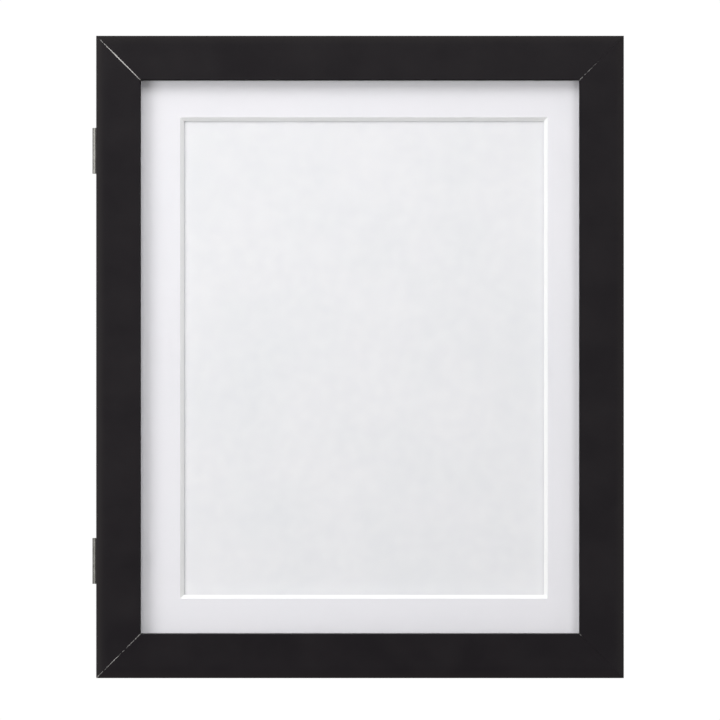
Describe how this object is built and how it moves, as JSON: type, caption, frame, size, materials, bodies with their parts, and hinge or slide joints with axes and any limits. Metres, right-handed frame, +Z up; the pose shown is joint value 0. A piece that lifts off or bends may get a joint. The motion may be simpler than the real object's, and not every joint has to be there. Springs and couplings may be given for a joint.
{
  "type": "front-opening display frame",
  "caption": "Shallow black wall frame with a hinged glazed door, a bevelled white window mat and a sprung board that holds a sheet behind it.",
  "frame": {"origin": "the middle notch of the upper hanger, on the wall plane", "axes": "+Z up, +X to the right of someone facing the frame, the front faces -Y and the wall is the plane y = 0"},
  "size_m": [0.2949, 0.033, 0.3556],
  "materials": {
    "black_wrapped_moulding": "satin",
    "black_wrapped_box": "satin",
    "clear_glass": "gloss",
    "mat_board": "matte",
    "blank_paper": "matte",
    "hardboard": "matte",
    "grey_board": "matte",
    "nickel_plated_steel": "satin",
    "nickel_plated_screws": "satin",
    "zinc_plated_steel": "satin",
    "bright_steel": "satin",
    "nickel_plated_magnet": "gloss",
    "nickel_plated_disc": "gloss",
    "black_felt": "matte",
    "black_nylon": "satin",
    "brass_plated_steel": "satin",
    "grey_foam": "matte",
    "black_elastic": "matte"
  },
  "bodies": {
    "box": {"back_panel": "hardboard", "back_panel_screws": "zinc_plated_steel", "box_corner_nails": "bright_steel", "box_wall_bottom": "black_wrapped_box", "box_wall_left": "black_wrapped_box", "box_wall_right": "black_wrapped_box", "box_wall_top": "black_wrapped_box", "catch_magnet_lower": "nickel_plated_magnet", "catch_magnet_upper": "nickel_plated_magnet", "felt_bumpers": "black_felt", "foam_pad_1": "grey_foam", "foam_pad_2": "grey_foam", "foam_pad_3": "grey_foam", "foam_pad_4": "grey_foam", "hanger_landscape": "brass_plated_steel", "hanger_rivets": "zinc_plated_steel", "hanger_upright": "brass_plated_steel", "hinge_box_leaf_lower": "nickel_plated_steel", "hinge_box_leaf_upper": "nickel_plated_steel", "hinge_box_screws": "nickel_plated_screws", "hinge_pin_lower": "nickel_plated_steel", "hinge_pin_upper": "nickel_plated_steel"},
    "door": {"catch_strike_lower": "nickel_plated_disc", "catch_strike_upper": "nickel_plated_disc", "door_bar_bottom": "black_wrapped_moulding", "door_bar_left": "black_wrapped_moulding", "door_bar_right": "black_wrapped_moulding", "door_bar_top": "black_wrapped_moulding", "hinge_door_leaf_lower": "nickel_plated_steel", "hinge_door_leaf_upper": "nickel_plated_steel", "hinge_door_screws": "nickel_plated_screws", "glass": "clear_glass", "window_mat": "mat_board", "door_corner_nails": "bright_steel", "turn_button_screws": "zinc_plated_steel"},
    "turn_button_left_upper": {"turn_button_left_upper": "black_nylon"},
    "turn_button_left_lower": {"turn_button_left_lower": "black_nylon"},
    "turn_button_right_upper": {"turn_button_right_upper": "black_nylon"},
    "turn_button_right_lower": {"turn_button_right_lower": "black_nylon"},
    "turn_button_top": {"turn_button_top": "black_nylon"},
    "turn_button_bottom": {"turn_button_bottom": "black_nylon"},
    "sheet_board": {"pressure_board": "grey_board", "display_sheet": "blank_paper", "strap_staples": "zinc_plated_steel", "corner_strap_1": "black_elastic", "corner_strap_2": "black_elastic", "corner_strap_3": "black_elastic", "corner_strap_4": "black_elastic"}
  },
  "joints": [
    {"name": "door_hinge", "type": "hinge", "parent": "box", "child": "door", "pos_m": [-0.1472, -0.0225, -0.15], "axis": [0, 0, -1], "range_deg": [0, 175]},
    {"name": "turn_left_upper_pivot", "type": "hinge", "parent": "door", "child": "turn_button_left_upper", "pos_m": [-0.1314, -0.0219, -0.075], "axis": [0, -1, 0], "range_deg": [0, 90]},
    {"name": "turn_left_lower_pivot", "type": "hinge", "parent": "door", "child": "turn_button_left_lower", "pos_m": [-0.1314, -0.0219, -0.225], "axis": [0, -1, 0], "range_deg": [0, 90]},
    {"name": "turn_right_upper_pivot", "type": "hinge", "parent": "door", "child": "turn_button_right_upper", "pos_m": [0.1314, -0.0219, -0.075], "axis": [0, 1, 0], "range_deg": [0, 90]},
    {"name": "turn_right_lower_pivot", "type": "hinge", "parent": "door", "child": "turn_button_right_lower", "pos_m": [0.1314, -0.0219, -0.225], "axis": [0, 1, 0], "range_deg": [0, 90]},
    {"name": "turn_top_pivot", "type": "hinge", "parent": "door", "child": "turn_button_top", "pos_m": [0, -0.0219, 0.01315], "axis": [0, -1, 0], "range_deg": [0, 90]},
    {"name": "turn_bottom_pivot", "type": "hinge", "parent": "door", "child": "turn_button_bottom", "pos_m": [0, -0.0219, -0.31315], "axis": [0, -1, 0], "range_deg": [0, 90]},
    {"name": "sheet_board_press", "type": "slide", "parent": "box", "child": "sheet_board", "axis": [0, 1, 0], "range_m": [0, 0.008], "stiffness_N_per_m": 600, "springref_m": -0.002, "deforming": ["foam_pad_1", "foam_pad_2", "foam_pad_3", "foam_pad_4"]}
  ]
}
